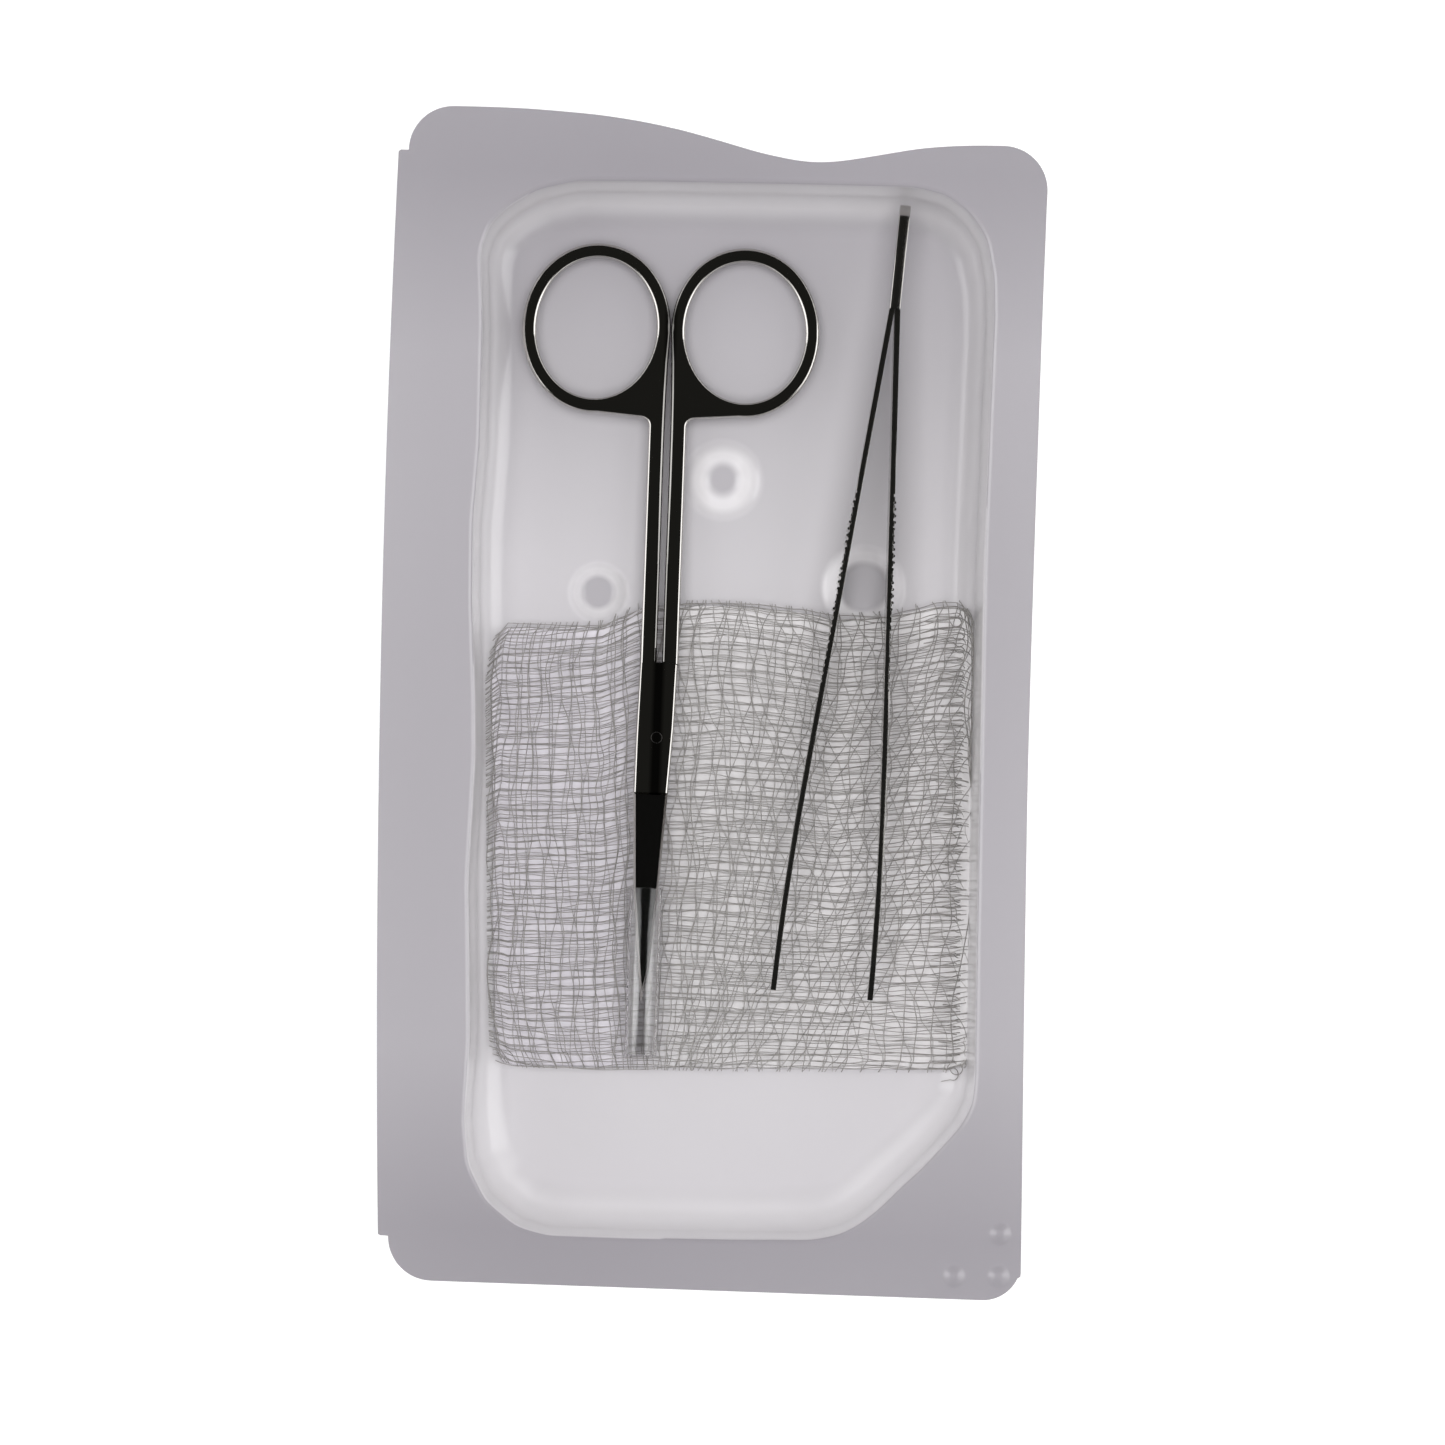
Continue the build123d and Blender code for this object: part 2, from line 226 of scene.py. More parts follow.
def patch(loops, holes, extra):
    """A flat patch as (points, triangles) inside the first loop and outside the holes."""
    points, edges = [], []
    for loop in [*loops, *holes]:
        start = len(points)
        points.extend(map(tuple, loop))
        edges.extend((start + i, start + (i + 1) % len(loop)) for i in range(len(loop)))
    points.extend(map(tuple, extra))
    flat, _, faces, *_ = delaunay_2d_cdt([Vector(p) for p in points], edges, [], 0, 1e-6)
    flat = np.array([tuple(v) for v in flat])
    faces = np.array([tuple(face) for face in faces])
    centres = flat[faces].mean(axis=1)
    kept = inside(centres, loops[0])
    for hole in holes:
        kept &= ~inside(centres, hole)
    faces = faces[kept]
    a, b, c = (flat[faces[:, i]] for i in range(3))
    area = (b - a)[:, 0] * (c - a)[:, 1] - (b - a)[:, 1] * (c - a)[:, 0]
    faces[area < 0] = faces[area < 0][:, ::-1]
    return flat, faces[abs(area) > 1e-5]


def ripple(x, y, size, seed):
    """A smooth uneven field between about -1 and 1, with waves about size across."""
    draw = np.random.default_rng(seed)
    field = np.zeros(np.broadcast(x, y).shape)
    for _ in range(7):
        turn, phase = draw.uniform(0, 2 * pi, 2)
        wave = 2 * pi / (size * draw.uniform(0.7, 1.9))
        field = field + np.sin(wave * (x * cos(turn) + y * sin(turn)) + phase)
    return field / 4.0


def turned_profile(name, profile, origin, axis, across, count):
    """A closed profile of (radius, distance along the axis) points, turned about the axis."""
    third = axis.cross(across)
    rings = []
    for i in range(count):
        turn = 2 * pi * i / count
        side = across * cos(turn) + third * sin(turn)
        rings.append([origin + axis * along + side * radius for radius, along in profile])
    n = len(profile)
    faces = []
    for i in range(count):
        for j in range(n):
            a, b = i * n, (i + 1) % count * n
            faces.append((a + j, b + j, b + (j + 1) % n, a + (j + 1) % n))
    mesh = bpy.data.meshes.new(name)
    mesh.from_pydata([point for ring in rings for point in ring], [], faces)
    shell = bmesh.new()
    shell.from_mesh(mesh)
    bmesh.ops.recalc_face_normals(shell, faces=shell.faces)
    shell.to_mesh(mesh)
    shell.free()
    mesh.shade_smooth()
    return new_piece(name, mesh)


# ------------------------------------------------------------------ shader helpers
def fill(tree, node, **values):
    """Sets a node's inputs, by label or as _0 by number; a value that is a socket is linked."""
    for name, value in values.items():
        if name.islower() and hasattr(node, name):
            setattr(node, name, value)
            continue
        socket = node.inputs[int(name[1:]) if name[0] == "_" else name.replace("_", " ")]
        if isinstance(value, bpy.types.NodeSocket):
            tree.links.new(value, socket)
        else:
            socket.default_value = value
    return node


def add_node(tree, kind, **values):
    """A new node with its inputs set."""
    return fill(tree, tree.nodes.new(kind), **values)


def calc(tree, operation, *values):
    """What a Math node makes of sockets or numbers, as a socket."""
    inputs = {f"_{i}": value for i, value in enumerate(values)}
    return add_node(tree, "ShaderNodeMath", operation=operation, **inputs).outputs[0]


def new_group(name, inputs, outputs):
    """An empty shader group with float or vector sockets."""
    group = bpy.data.node_groups.new(name, "ShaderNodeTree")
    for label, kind, default in inputs:
        socket = group.interface.new_socket(label, in_out="INPUT", socket_type=kind)
        if default is not None:
            socket.default_value = default
    for label, kind in outputs:
        group.interface.new_socket(label, in_out="OUTPUT", socket_type=kind)
    return group, group.nodes.new("NodeGroupInput"), group.nodes.new("NodeGroupOutput")


def make_patchy_group():
    """Cloudy patches: a mask that drifts between 0 and 1."""
    group, start, end = new_group(
        "patchy",
        [
            ("Place", "NodeSocketVector", None),
            ("Scale", "NodeSocketFloat", 100.0),
            ("Detail", "NodeSocketFloat", 3.0),
            ("Low", "NodeSocketFloat", 0.35),
            ("High", "NodeSocketFloat", 0.65),
        ],
        [("Mask", "NodeSocketFloat")],
    )
    cloud = add_node(
        group, "ShaderNodeTexNoise",
        Vector=start.outputs["Place"], Scale=start.outputs["Scale"],
        Detail=start.outputs["Detail"],
    )
    spread = add_node(
        group, "ShaderNodeMapRange", interpolation_type="SMOOTHSTEP", Value=cloud.outputs["Fac"],
        From_Min=start.outputs["Low"], From_Max=start.outputs["High"],
    )
    group.links.new(spread.outputs["Result"], end.inputs["Mask"])
    return group


def make_scratch_group():
    """Fine streaks along one direction, as a height."""
    group, start, end = new_group(
        "streaks",
        [
            ("Place", "NodeSocketVector", None),
            ("Across", "NodeSocketFloat", 9000.0),
            ("Along", "NodeSocketFloat", 250.0),
        ],
        [("Height", "NodeSocketFloat")],
    )
    split = add_node(group, "ShaderNodeSeparateXYZ", Vector=start.outputs["Place"])
    x, y, z = (
        calc(group, "MULTIPLY", split.outputs[axis], start.outputs[way])
        for axis, way in (("X", "Across"), ("Y", "Along"), ("Z", "Across"))
    )
    stretched = add_node(group, "ShaderNodeCombineXYZ", X=x, Y=y, Z=z).outputs[0]
    lines = add_node(group, "ShaderNodeTexNoise", Vector=stretched, Scale=1.0, Detail=2.0)
    group.links.new(lines.outputs["Fac"], end.inputs["Height"])
    return group


PATCHY = make_patchy_group()
STREAKS = make_scratch_group()


def new_material(name):
    """An empty material with its node tree and Principled shader."""
    material = bpy.data.materials.new(name)
    material.use_nodes = True
    tree = material.node_tree
    return material, tree, tree.nodes["Principled BSDF"]


def patchy(tree, place, scale, low=0.35, high=0.65, detail=3.0):
    """The mask of cloudy patches as a socket."""
    return add_node(
        tree, "ShaderNodeGroup", node_tree=PATCHY,
        Place=place, Scale=scale, Detail=detail, Low=low, High=high,
    ).outputs["Mask"]


def streaks(tree, place, across, along):
    """The height of fine streaks as a socket."""
    return add_node(
        tree, "ShaderNodeGroup", node_tree=STREAKS, Place=place, Across=across, Along=along
    ).outputs["Height"]


def mixed(tree, factor, low, high):
    """A colour between low and high as a socket."""
    node = add_node(tree, "ShaderNodeMix", data_type="RGBA")
    for socket, value in ((node.inputs[0], factor), (node.inputs[6], low), (node.inputs[7], high)):
        if isinstance(value, bpy.types.NodeSocket):
            tree.links.new(value, socket)
        elif socket.type == "RGBA":
            socket.default_value = (*value, 1.0)
        else:
            socket.default_value = value
    return node.outputs[2]


def ranged(tree, value, low, high, to_low, to_high, smooth=False):
    """A value carried from one range to another as a socket."""
    return add_node(
        tree, "ShaderNodeMapRange", interpolation_type="SMOOTHSTEP" if smooth else "LINEAR",
        Value=value, From_Min=low, From_Max=high, To_Min=to_low, To_Max=to_high,
    ).outputs["Result"]


def bumped(tree, shader, height, strength, distance):
    """Feeds a height to the shader's normal."""
    bump = add_node(
        tree, "ShaderNodeBump", Height=height, Strength=strength, Distance=distance
    )
    fill(tree, shader, Normal=bump.outputs["Normal"])


def coordinates(tree, kind="Object"):
    """Texture coordinates of one kind as a socket."""
    return tree.nodes.new("ShaderNodeTexCoord").outputs[kind]


def tinted(colour, share):
    """The colour at a share of its brightness."""
    return tuple(part * share for part in colour)


# ------------------------------------------------------------------ materials
def film_material(settings):
    """Glossy translucent film whose colour mixes its thinning with painted light: greyer where it
    keeps its thickness and as painted shade on the raised flange and peg tops, paler where it is
    stretched thin and as painted highlights on the walls and peg flanks.
    """
    material, tree, shader = new_material("glossy_tray_film")
    place = coordinates(tree)
    # attribute that mixes the film's thinning with painted light and shade
    drawn = add_node(tree, "ShaderNodeAttribute", attribute_name="drawn")
    colour = mixed(tree, drawn.outputs["Fac"], settings.full_and_shade_colour, settings.drawn_colour)
    cloud = patchy(tree, place, 14.0, 0.2, 0.8, 1.0)
    colour = mixed(tree, ranged(tree, cloud, 0, 1, 0.0, 0.05), colour, (0.85, 0.83, 0.87))
    smear = patchy(tree, place, 35.0, 0.2, 0.8, 2.0)
    fill(
        tree, shader, Base_Color=colour, Roughness=ranged(tree, smear, 0, 1, 0.30, 0.34),
        Alpha=settings.cover, Coat_Weight=0.9, Coat_Roughness=0.12,
    )
    peel = patchy(tree, place, 160.0, 0.1, 0.9, 1.0)
    bumped(tree, shader, peel, 0.05, 0.05 * MM)
    return material


def thread_material(name, base):
    """Twisted cotton thread, its white darkened to grey as painted shade."""
    material, tree, shader = new_material(name)
    place = coordinates(tree)
    uneven = patchy(tree, place, 900.0, 0.3, 0.7)
    pale = tuple(min(1.0, part * 1.35) for part in base)
    fill(
        tree, shader, Base_Color=mixed(tree, uneven, base, pale), Roughness=0.85,
        Sheen_Weight=0.2, Specular_IOR_Level=0.2,
    )
    twist = patchy(tree, place, 5200.0, 0.3, 0.7, 1.0)
    bumped(tree, shader, twist, 0.3, 0.03 * MM)
    return material


def lint_material(settings):
    """The thin haze of fibres between the threads, denser at the upper fold and on the left, and
    denser on the right as painted light that lifts the shade there.
    """
    material, tree, shader = new_material("cotton_lint")
    place = coordinates(tree)
    split = add_node(tree, "ShaderNodeSeparateXYZ", Vector=place)
    left = ranged(tree, split.outputs["X"], -14.0 * MM, -2.0 * MM, 1.0, 0.0, smooth=True)
    upper = ranged(tree, split.outputs["Y"], 7.0 * MM, 12.0 * MM, 0.0, 1.0, smooth=True)
    colour = mixed(tree, left, settings.lint_colour, (0.88, 0.85, 0.90))
    thin = patchy(tree, place, 260.0, 0.2, 0.8)
    haze = ranged(tree, thin, 0, 1, 0.30, 0.42)
    # painted light: more pale lint on the right lifts the shade cast there
    right = ranged(tree, split.outputs["X"], 8.0 * MM, 24.0 * MM, 0.0, 1.0, smooth=True)
    milky_left_and_lit_right = calc(tree, "MULTIPLY", calc(tree, "ADD", left, right), 0.12)
    band = calc(tree, "MULTIPLY", upper, 0.18)
    cover = calc(tree, "ADD", haze, calc(tree, "ADD", milky_left_and_lit_right, band))
    fill(tree, shader, Base_Color=colour, Roughness=0.95, Specular_IOR_Level=0.1, Alpha=cover)
    bumped(tree, shader, thin, 0.2, 0.1 * MM)
    return material


def scissors_axes():
    """Origin and axes of the scissors: across, towards the rings, and up out of the joint."""
    hinge = JOINTS["scissors_upper_open"]
    up = Vector(hinge["axis"])
    rings = -Vector(JOINTS["guard_pull"]["axis"])
    return Vector(hinge["pos_m"]), rings.cross(up), rings, up


def scissors_place(tree):
    """Coordinates that lie along the scissors, as a socket."""
    origin, across, rings, up = scissors_axes()
    turn = Matrix((across, rings, up))
    return add_node(
        tree, "ShaderNodeMapping", vector_type="POINT", Vector=coordinates(tree),
        Rotation=turn.to_euler(), Location=-(turn @ origin),
    ).outputs["Vector"]


def scissors_material(settings):
    """Mirror-polished steel, dull on the ground blade faces, with painted shade along the slit in
    the middle.
    """
    material, tree, shader = new_material("polished_scissors_steel")
    place = scissors_place(tree)
    split = add_node(tree, "ShaderNodeSeparateXYZ", Vector=place)
    facing = add_node(tree, "ShaderNodeSeparateXYZ", Vector=coordinates(tree, "Normal"))
    below_step = ranged(tree, split.outputs["Y"], -8.35 * MM, -8.25 * MM, 1.0, 0.0)
    flat = ranged(tree, facing.outputs["Z"], 0.96, 0.99, 0.0, 1.0)
    ground = calc(tree, "MULTIPLY", below_step, flat)
    smudge = patchy(tree, place, 90.0, 0.2, 0.8, 1.0)
    low, high = settings.mirror_roughness * 0.85, settings.mirror_roughness * 1.2
    polish = ranged(tree, smudge, 0, 1, low, high)
    rough = add_node(
        tree, "ShaderNodeMix", data_type="FLOAT",
        _0=ground, _2=polish, _3=settings.ground_roughness,
    ).outputs[0]
    # painted shade: the steel is darkened along the slit between the two halves
    off_centre = calc(tree, "ABSOLUTE", split.outputs["X"])
    painted_slit_shade = ranged(tree, off_centre, 0.45 * MM, 1.1 * MM, 1.0, 0.0)
    colour = mixed(tree, painted_slit_shade, settings.colour, tinted(settings.colour, 0.22))
    colour = mixed(tree, ground, colour, tinted(settings.colour, 0.10))
    fill(tree, shader, Base_Color=colour, Roughness=rough, Metallic=1.0)
    bumped(tree, shader, streaks(tree, place, 5200.0, 160.0), 0.05, 0.02 * MM)
    return material


def mark_material(settings):
    """The dull line scribed round the pivot."""
    material, tree, shader = new_material("dull_pivot_mark")
    grain = patchy(tree, coordinates(tree), 4000.0)
    colour = mixed(tree, grain, tinted(settings.colour, 0.12), tinted(settings.colour, 0.2))
    fill(tree, shader, Base_Color=colour, Roughness=0.4, Metallic=1.0)
    return material


def forceps_material(settings):
    """Polished steel, brushed very finely along the arms."""
    material, tree, shader = new_material("polished_forceps_steel")
    place = coordinates(tree)
    smudge = patchy(tree, place, 60.0, 0.2, 0.8, 1.0)
    rough = ranged(tree, smudge, 0, 1, 0.12, 0.16)
    colour = mixed(tree, smudge, settings.colour, tinted(settings.colour, 0.9))
    fill(tree, shader, Base_Color=colour, Roughness=rough, Metallic=1.0)
    bumped(tree, shader, streaks(tree, place, 7000.0, 180.0), 0.04, 0.02 * MM)
    return material


def vinyl_material():
    """Clear soft vinyl of the tip guard."""
    material, tree, shader = new_material("clear_guard_vinyl")
    smear = patchy(tree, coordinates(tree), 90.0, 0.2, 0.8, 1.0)
    fill(
        tree, shader, Base_Color=(1.0, 1.0, 1.0, 1.0), Transmission_Weight=1.0, IOR=1.1,
        Roughness=ranged(tree, smear, 0, 1, 0.015, 0.03), Coat_Weight=0.9, Coat_Roughness=0.1,
    )
    return material


# ------------------------------------------------------------------ tray
FLANGE_Z = 16.0
FLOOR_Z = 0.5
DRAFT = radians(3.0)
RIM_ROLL = 0.8
RIM_COUNT = 520
# each peg: x, y, top radius and foot radius in mm, and the share its crown is set to as painted
# shade
PEGS = (
    (-17.1, 16.5, 1.9, 4.6, 0.22), (1.4, 33.9, 1.4, 6.2, 0.26), (23.1, 18.0, 3.1, 6.5, 0.30),
)
PEG_RISE = 2.3
DOTS = ((44.7, -77.9), (38.0, -84.3), (44.6, -84.2))
DOT_TOP, DOT_RADIUS, DOT_RISE = 0.3, 1.9, 0.5
GRID, GRID_JITTER = 3.0, 0.4
DOT_CLEAR, PEG_CLEAR = 2.2, 7.3

# places or heights in mm, and how far the film is stretched there, which also carries painted
# light: the floor darker towards its top end, painted highlights up the walls and painted shade on
# the raised flange
FLOOR_DRAW_AND_LIGHT = (-75, -55, 20, 76), (0.50, 0.54, 0.51, 0.12)
WALL_DRAW_AND_HIGHLIGHT = (0.6, 2.5, 9.0, 14.5, 15.9), (0.0, 0.6, 1.0, 0.75, 0.0)
FLANGE_DRAW_AND_SHADE = (-49, 49), (0.14, 0.145)

WELL_RIM = (
    (-35.1, 66.5), (-34.6, 56.0), (-34.7, 38.0), (-35.5, 26.0), (-35.4, 14.6), (-34.7, 0.0),
    (-34.5, -9.0), (-35.2, -27.0), (-34.8, -39.0), (-34.5, -51.0), (-35.0, -62.5),
    (-34.3, -69.2), (-31.6, -74.4), (-27.0, -78.1), (-22.5, -79.3), (-10.0, -79.5),
    (5.0, -79.5), (17.0, -79.3), (21.0, -78.4), (23.9, -76.8), (26.8, -74.4), (29.8, -71.3),
    (32.7, -68.6), (35.6, -65.4), (38.5, -62.1), (40.2, -58.8), (40.5, -55.0), (40.4, -30.0),
    (40.4, 0.0), (40.4, 22.0), (40.9, 46.0), (41.2, 58.0), (41.0, 64.0), (39.9, 69.6),
    (37.4, 73.4), (33.8, 76.0), (29.0, 77.1), (10.0, 77.2), (-10.0, 77.2), (-21.0, 77.1),
    (-26.8, 75.7), (-31.0, 73.2), (-33.8, 70.4),
)


def arc(centre, radius, start, end, count=14):
    """Points on an arc, angles in degrees."""
    turns = np.radians(np.linspace(start, end, count))
    return [(centre[0] + radius * cos(t), centre[1] + radius * sin(t)) for t in turns]


def flange_edge():
    """The flange's punched outline, counter-clockwise."""
    low, high = (1000 * np.array(corner) for corner in CAD_BOX)
    radius, right_radius, ledge, bulge = 6.6, 5.6, 1.5, 1.2
    left, right = low[0] + bulge, 47.9
    top, crest, foot_left, foot_right = high[1], high[1] - 4.35, low[1] + 1.3, low[1]
    left_y = np.linspace(top - radius, foot_left + radius, 60)
    swell = 1 - ((left_y - left_y.mean()) / (left_y[0] - left_y.mean())) ** 2
    edge = [(left + ledge, top - radius)]
    edge += list(zip(left - bulge * swell, left_y))
    edge += arc((left + ledge + radius, foot_left + radius), radius, 180, 270)
    right_low, right_top = foot_right + 3.6, crest - radius
    edge += arc((right - right_radius, foot_right + right_radius), right_radius, 270, 338)
    right_y = np.linspace(right_low, right_top, 60)
    marks = (right_low, -40, -10, 20, 60, right_top)
    x = np.interp(right_y, marks, (right, 47.6, 47.5, 47.8, 48.4, 48.8))
    edge += list(zip(softened_line(x, 5), right_y))
    edge += arc((high[0] - radius, right_top), radius, 0, 90)
    wave = [
        (42.2, 83.5), (38.7, 83.5), (35.7, 83.4), (29.8, 82.9), (23.8, 81.75), (18.0, 80.7),
        (14.8, 80.45), (12.0, 80.6), (6.0, 81.75), (0.0, 83.45), (-5.9, 85.0), (-11.9, 86.15),
        (-17.8, 86.95), (-23.7, 87.4), (-29.7, 87.75), (-36.0, 87.85), (-39.5, 87.85),
    ]
    wave_x = np.linspace(42.2, -39.5, 90)
    wave_y = np.interp(-wave_x, [-p[0] for p in wave], [p[1] for p in wave])
    edge += list(zip(wave_x, softened_line(wave_y, 4)))[1:]
    edge += arc((left + ledge + radius, top - radius), radius, 90, 180)[1:-1]
    return np.array(edge)


def softened_line(values, reach):
    """A line of values, each averaged with its neighbours, with its ends kept."""
    padded = np.concatenate([[values[0]] * reach, values, [values[-1]] * reach])
    kernel = np.hanning(2 * reach + 3)[1:-1]
    smooth = np.convolve(padded, kernel / kernel.sum(), mode="valid")
    smooth[0], smooth[-1] = values[0], values[-1]
    return smooth


def well_rim():
    """The well's rim as evenly spaced points with their outward normals and foot radii."""
    rim = even_loop(np.array(WELL_RIM), 2 * RIM_COUNT)
    rim = even_loop(softened(rim, 5), RIM_COUNT)
    normal = outward(rim, 6)
    foot = np.interp(rim[:, 1], (-79, -68, -52, 60, 70, 77), (8.0, 7.0, 4.2, 4.2, 5.0, 6.0))
    return rim, normal, softened(foot, 12)


RIM, RIM_NORMAL, FOOT_RADIUS = well_rim()


def bump_height(distance, top, foot, rise):
    """Height of a round flat-topped bump at a distance from its centre."""
    t = np.clip((foot - distance) / (foot - top), 0, 1)
    return rise * t * t * (3 - 2 * t)


def floor_height(x, y):
    """Height of the well's upper face, in mm, with its pegs and rounded foot."""
    x, y = np.atleast_1d(x).astype(float), np.atleast_1d(y).astype(float)
    height = np.full(x.shape, FLOOR_Z)
    for peg_x, peg_y, top, foot, _ in PEGS:
        height = height + bump_height(np.hypot(x - peg_x, y - peg_y), top, foot, PEG_RISE)
    far = np.hypot(x[..., None] - RIM[:, 0], y[..., None] - RIM[:, 1])
    nearest = far.argmin(axis=-1)
    radius = FOOT_RADIUS[nearest]
    into_foot = np.clip(radius + 0.7 - far.min(axis=-1), 0, radius * 0.96)
    return height + radius - np.sqrt(radius**2 - into_foot**2)


def flange_lift(x, y):
    """Slight waviness of the flange, in mm."""
    return 0.16 * ripple(x, y, 70.0, 11)


def tray_surface():
    """The film's upper face as (vertices in mm, faces)."""
    rings = []
    for turn in np.linspace(0, pi / 2 - DRAFT, 7):
        offset = np.full(RIM_COUNT, RIM_ROLL * (sin(turn) - 1))
        rings.append((offset, FLANGE_Z - RIM_ROLL * (1 - cos(turn))))
    wall_top = rings[-1][1]
    foot_top = FLOOR_Z + FOOT_RADIUS * (1 - sin(DRAFT))
    start = rings[-1][0]
    for share in np.linspace(0, 1, 8)[1:]:
        z = wall_top + (foot_top - wall_top) * share
        rings.append((start + (wall_top - z) * tan(DRAFT), z))
    at_foot = rings[-1][0]
    centre = at_foot + FOOT_RADIUS * cos(DRAFT)
    for turn in np.linspace(DRAFT, pi / 2, 14)[1:]:
        z = FLOOR_Z + FOOT_RADIUS * (1 - sin(turn))
        rings.append((centre - FOOT_RADIUS * cos(turn), z))
    vertices, faces = [], []
    for offset, z in rings:
        ring = RIM - RIM_NORMAL * np.asarray(offset)[:, None]
        vertices.append(np.column_stack([ring, np.broadcast_to(z, RIM_COUNT)]))
    for k in range(len(rings) - 1):
        for i in range(RIM_COUNT):
            j = (i + 1) % RIM_COUNT
            a, b = k * RIM_COUNT, (k + 1) * RIM_COUNT
            faces.append((a + i, a + j, b + j, b + i))
    vertices = np.vstack(vertices)
    flange_hole, floor_edge = vertices[:RIM_COUNT, :2], vertices[-RIM_COUNT:, :2]

    def spots(centres, radii):
        around = np.linspace(0, 2 * pi, 48, endpoint=False)
        return [
            (x + r * cos(t), y + r * sin(t)) for x, y in centres for r in radii for t in around
        ] + list(centres)

    edge = even_loop(flange_edge(), 900)
    grid = np.meshgrid(np.arange(-48, 49, GRID), np.arange(-87, 88, GRID))
    grid = np.stack(grid, -1).reshape(-1, 2)
    grid += GRID_JITTER * np.random.default_rng(3).uniform(-1, 1, grid.shape)
    on_flange = grid[inside(grid, edge) & ~inside(grid, flange_hole)]
    clear_of_dots = np.min([np.hypot(*(on_flange - dot).T) for dot in DOTS], axis=0) > DOT_CLEAR
    dot_spots = spots(DOTS, np.linspace(0.2, DOT_RADIUS, 8))
    flat, triangles = patch([edge], [flange_hole], [*on_flange[clear_of_dots], *dot_spots])
    rise = np.zeros(len(flat))
    for dot in DOTS:
        rise += bump_height(np.hypot(*(flat - dot).T), DOT_TOP, DOT_RADIUS, DOT_RISE)
    count = len(vertices)
    faces += [tuple(face + count) for face in triangles]
    vertices = np.vstack([vertices, np.column_stack([flat, FLANGE_Z + rise])])

    on_floor = grid[inside(grid, floor_edge)]
    pegs = [peg[:2] for peg in PEGS]
    clear_of_pegs = np.min([np.hypot(*(on_floor - peg).T) for peg in pegs], axis=0) > PEG_CLEAR
    peg_spots = spots(pegs, np.linspace(0.4, 6.8, 24))
    flat, triangles = patch([floor_edge], [], [*on_floor[clear_of_pegs], *peg_spots])
    z = np.full(len(flat), FLOOR_Z)
    for x, y, top, foot, _ in PEGS:
        z += bump_height(np.hypot(flat[:, 0] - x, flat[:, 1] - y), top, foot, PEG_RISE)
    count = len(vertices)
    faces += [tuple(face + count) for face in triangles]
    vertices = np.vstack([vertices, np.column_stack([flat, z])])
    high = np.clip((vertices[:, 2] - 4) / 12, 0, 1)
    vertices[:, 2] += high * flange_lift(vertices[:, 0], vertices[:, 1])
    return vertices, faces


def drawn_and_lit_share(vertices):
    """How far the film is stretched at each vertex, from 0 at full thickness to 1, mixed with
    painted light: painted highlights on the walls and peg flanks, painted shade on the flange and
    peg tops, and painted light on the right of the floor.
    """
    x, y, z = vertices.T
    on_floor = np.interp(y, *FLOOR_DRAW_AND_LIGHT)
    # painted light: the floor is lifted on the right, where the forceps cast their shadow
    on_floor = on_floor + 0.06 * np.clip((x - 12) / 14, 0, 1) * np.clip((y + 10) / 20, 0, 1)
    # painted highlight: the walls are brightened towards the pale film colour
    share = on_floor + (1.0 - on_floor) * np.interp(z, *WALL_DRAW_AND_HIGHLIGHT)
    # painted shade: the raised flange is kept grey, and darker still towards its top and bottom
    # ends
    on_flange = np.interp(x, *FLANGE_DRAW_AND_SHADE) - 0.16 * np.clip((abs(y) - 52) / 30, 0, 1)
    share = np.where(z > 15.6, on_flange, share)
    # painted shade on each peg's crown and a painted highlight round its flank
    for peg_x, peg_y, top, foot, crown_shade_share in PEGS:
        far = np.hypot(x - peg_x, y - peg_y)
        crown_shade = np.clip((top + 0.35 * (foot - top) - far) / (0.3 * (foot - top)), 0, 1)
        flank_highlight = np.clip(1 - abs(far - (top + foot) / 2 - 0.3) / (0.5 * (foot - top)), 0, 1)
        with_flank_highlight = share + flank_highlight * 0.45
        share = np.where(z < 4, with_flank_highlight - crown_shade * (with_flank_highlight - crown_shade_share), share)
    return share


# ------------------------------------------------------------------ gauze
GAUZE_TOP = 2.25
PLY_STEP = 0.4
PLIES = 3
WEFT_SPREAD, WARP_SPREAD = (1.0, 1.2, 1.6), (1.0, 0.75, 1.1)
WARP_SKEW, THREAD_SHARE = (0.06, 0.52, -0.36), (1.0, 0.8, 0.7)
THREAD_POINTS, WEAVE = 74, 0.11
CREASE_START, CREASE_WAY = (-31.0, 8.5), np.array((21.0, -13.0)) / np.hypot(21.0, 13.0)
CREASE_LENGTH, CREASE_HEIGHT, CREASE_WIDTH = 24.0, 0.8, 1.6
TOP_EDGE = (
    (-33.8, 9.5), (-31.9, 11.6), (-22.8, 11.9), (-16.8, 12.3), (-13.8, 13.6), (-10.8, 15.3),
    (1.3, 15.7), (13.5, 14.9), (18.9, 13.9), (26.8, 14.4), (34.6, 16.2), (38.4, 16.3),
    (39.8, 14.8),
)


def gauze_xy(s, t):
    """Plan position of a point of the sponge; s runs to the right and t towards the pegs."""
    left = np.interp(t, (0, 0.04, 0.35, 0.9, 0.97, 1), (-30.9, -32.3, -33.0, -33.8, -33.2, -32.2))
    right = np.interp(t, (0, 0.03, 0.5, 0.93, 0.99, 1), (39.5, 40.7, 40.3, 39.8, 39.0, 38.4))
    low = np.interp(s, (0, 0.04, 0.5, 0.96, 1), (-54.7, -55.7, -55.6, -55.2, -54.2))
    top = np.interp(-33.8 + 73.6 * s, *zip(*TOP_EDGE))
    return left + (right - left) * s, low + (top - low) * t


